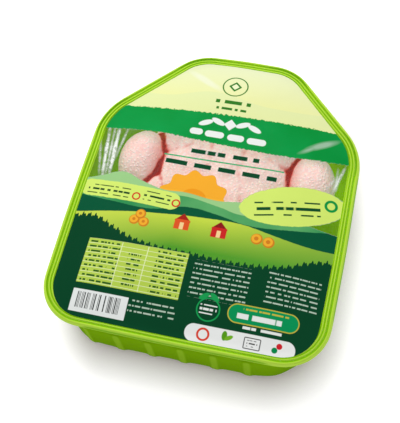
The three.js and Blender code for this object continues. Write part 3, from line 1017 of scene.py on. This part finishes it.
def chicken_skin(colours):
    """Moist pale skin: pinker in patches, red in the folds with painted shade in the deepest ones, small bumps
    all over, and a faint painted glow that is dimmer in the folds.
    """
    material, shader, _, place = new_material("chicken_skin")
    flush = stored(place, "flush")
    tone = noise(place, 26.0, 3.0).share(0.42, 0.75).between(tuple(colours.skin), linear(244, 194, 184))
    tone = tone.mixed(linear(240, 214, 200), noise(place, 14.0, 2.0).share(0.5, 0.75) * 0.5)
    wobble = place.vector("ADD", place, noise_vector(place, 60.0, 0.004))
    roots = place.node("ShaderNodeTexVoronoi", {"Vector": wobble, "Scale": 380.0, "Randomness": 0.8})
    root = 1 - roots.share(0.05, 0.5)
    mottle = noise(place, 380.0, 3.0, 0.6)
    wrinkle = noise(place.vector("MULTIPLY", place, (1, 0.4, 1)), 170.0, 3.0)
    tone = tone.mixed(linear(222, 164, 150), roots.share(0.3, 0.75) * 0.42)
    tone = tone.mixed(linear(214, 150, 138), wrinkle.share(0.5, 0.72) * 0.36)
    tone = tone.mixed(linear(252, 236, 226), root * 0.3)
    # Red in the folds, partly the skin's own flush and partly painted shade; the deepest creases are painted
    # dark red as shade.
    tone = tone.mixed(linear(232, 140, 130), flush.share(0.1, 0.6) * 0.8)
    tone = tone.mixed(tuple(colours.flush), flush.share(0.45, 0.9))
    tone = tone.mixed(linear(138, 20, 14), flush.share(0.8, 1.0) * 0.9)
    # Painted glow: the skin emits a pale light of its own, dimmed to dark red in the folds as painted shade.
    lit = flush.share(0.2, 0.7).between((0.92, 0.8, 0.82), (0.3, 0.03, 0.02))
    height = root * 0.6 - wrinkle * 0.7 + mottle * 0.2
    set_shader(shader, base_color=tone, roughness=mottle.share(0.3, 0.7) * 0.15 + 0.33,
               normal=bump(height, 0.0013, 0.8), emission_color=lit, emission_strength=0.2,
               subsurface_weight=0.3, subsurface_radius=(1.0, 0.35, 0.22), subsurface_scale=0.003,
               coat_weight=0.25, coat_roughness=0.2)
    return material


def noise_vector(place, scale, size):
    """A small sideways push that keeps a pattern from looking regular."""
    push = place.node("ShaderNodeTexNoise", {"Vector": place, "Scale": scale, "Detail": 1.0}, out=1)
    return push.vector("MULTIPLY", push.vector("SUBTRACT", push, (0.5, 0.5, 0.5)), (size, size, size))


# Stage

FLOOR_SIDE = 40
AIM = Vector((-6.4, -19.0, 55.0)) * MM


def soft_light(name, place, aim, size, power):
    """A rectangular light that isn't mirrored by the film or the tray."""
    lamp = bpy.data.lights.new(name, "AREA")
    lamp.shape = "RECTANGLE"
    lamp.size, lamp.size_y = size
    lamp.energy = power
    light = bpy.data.objects.new(name, lamp)
    bpy.context.scene.collection.objects.link(light)
    light.location = place
    light.visible_glossy = False
    light.rotation_euler = (Vector(aim) - Vector(place)).to_track_quat("-Z", "Y").to_euler()


def floor_material():
    """Pale floor that glows as if lit from below, less near the pack: a painted contact shadow."""
    material, shader, _, place = new_material("pale_floor")
    shade = noise(place, 3.0, 2.0).between((0.9, 0.89, 0.88), (0.93, 0.92, 0.91))
    # Painted contact shadow: the floor's glow falls off towards the pack.
    away = slab(flat_millimetres(place), (0, 0), (100, 126), 40.0).share(0, 28)
    glow = away.between((0.14, 0.09, 0.13), (0.63, 0.6, 0.64))
    set_shader(shader, base_color=shade, roughness=0.8, emission_color=glow, emission_strength=1.0)
    return material


def set_stage():
    """A white studio with one broad light from the far left, and a pale floor."""
    alone()
    bpy.ops.mesh.primitive_plane_add(size=FLOOR_SIDE, location=(0, 0, 0))
    floor = active("floor")
    floor.data.materials.append(floor_material())
    world = bpy.data.worlds.new("studio")
    bpy.context.scene.world = world
    world.use_nodes = True
    sky = world.node_tree.nodes["Background"]
    sky.inputs["Color"].default_value = (1, 1, 1, 1)
    sky.inputs["Strength"].default_value = 0.5
    soft_light("key_light", place=(-0.4, 0.7, 1.05), aim=(0, 0, 0), size=(0.9, 0.9), power=11)
    scene = bpy.context.scene
    scene.view_settings.view_transform = "Standard"
    scene.view_settings.look = "None"


def set_camera(settings):
    """Stands the camera round, above and away from the point it looks at, and tilts it."""
    a, e, r = settings.azimuth, settings.elevation, settings.roll
    forward = Vector((-math.sin(a) * math.cos(e), math.cos(a) * math.cos(e), -math.sin(e)))
    level = Vector((math.cos(a), math.sin(a), 0))
    down = forward.cross(level)
    right = math.cos(r) * level - math.sin(r) * down
    up = -math.sin(r) * level - math.cos(r) * down
    lens = bpy.data.cameras.new("camera")
    lens.lens = settings.lens
    lens.sensor_width = 36
    lens.clip_start = 0.05
    camera = bpy.data.objects.new("camera", lens)
    bpy.context.scene.collection.objects.link(camera)
    turn = Matrix((right, up, -forward)).transposed()
    camera.matrix_world = Matrix.Translation(AIM - forward * settings.distance) @ turn.to_4x4()
    bpy.context.scene.camera = camera


# Add-on

class ChickenPack(bpy.types.PropertyGroup):
    sizes: PointerProperty(type=PackSizes, name="Sizes", description="Measures of the pack")
    colours: PointerProperty(type=PackColours, name="Colours", description="Colours of the pack")
    stage: PointerProperty(type=StageSettings, name="Stage", description="Camera and floor")


class PACK_OT_tray(bpy.types.Operator):
    """Makes the ribbed tray"""
    bl_idname = "chicken_pack.tray"
    bl_label = "Tray"

    def execute(self, context):
        make_tray(context.scene.chicken_pack)
        return {"FINISHED"}


class PACK_OT_lid_film(bpy.types.Operator):
    """Makes the printed film lid"""
    bl_idname = "chicken_pack.lid_film"
    bl_label = "Lid film"

    def execute(self, context):
        make_film(context.scene.chicken_pack)
        return {"FINISHED"}


class PACK_OT_bird(bpy.types.Operator):
    """Makes the bird in the tray"""
    bl_idname = "chicken_pack.bird"
    bl_label = "Bird"

    def execute(self, context):
        make_bird(context.scene.chicken_pack)
        return {"FINISHED"}


class PACK_OT_stage(bpy.types.Operator):
    """Makes the floor, the lights and the camera"""
    bl_idname = "chicken_pack.stage"
    bl_label = "Stage"

    def execute(self, context):
        set_stage()
        set_camera(context.scene.chicken_pack.stage)
        return {"FINISHED"}


PIECES = (PACK_OT_tray, PACK_OT_lid_film, PACK_OT_bird, PACK_OT_stage)


class PACK_PT_panel(bpy.types.Panel):
    """Lists the pieces and their measures"""
    bl_idname = "PACK_PT_panel"
    bl_label = "Chicken Pack"
    bl_space_type = "VIEW_3D"
    bl_region_type = "UI"
    bl_category = "Chicken Pack"

    def draw(self, context):
        pack = context.scene.chicken_pack
        for group in (pack.sizes, pack.colours, pack.stage):
            for name in group.__annotations__:
                self.layout.prop(group, name)
        for piece in PIECES:
            self.layout.operator(piece.bl_idname)


CLASSES = (PackSizes, PackColours, StageSettings, ChickenPack, *PIECES, PACK_PT_panel)


def register():
    for each in CLASSES:
        bpy.utils.register_class(each)
    bpy.types.Scene.chicken_pack = PointerProperty(type=ChickenPack, name="Chicken pack",
                                                   description="Measures and colours of the pack")


def unregister():
    del bpy.types.Scene.chicken_pack
    for each in reversed(CLASSES):
        bpy.utils.unregister_class(each)


def main():
    register()
    bpy.ops.chicken_pack.tray()
    bpy.ops.chicken_pack.lid_film()
    bpy.ops.chicken_pack.bird()
    bpy.ops.chicken_pack.stage()


if __name__ == "__main__":
    main()
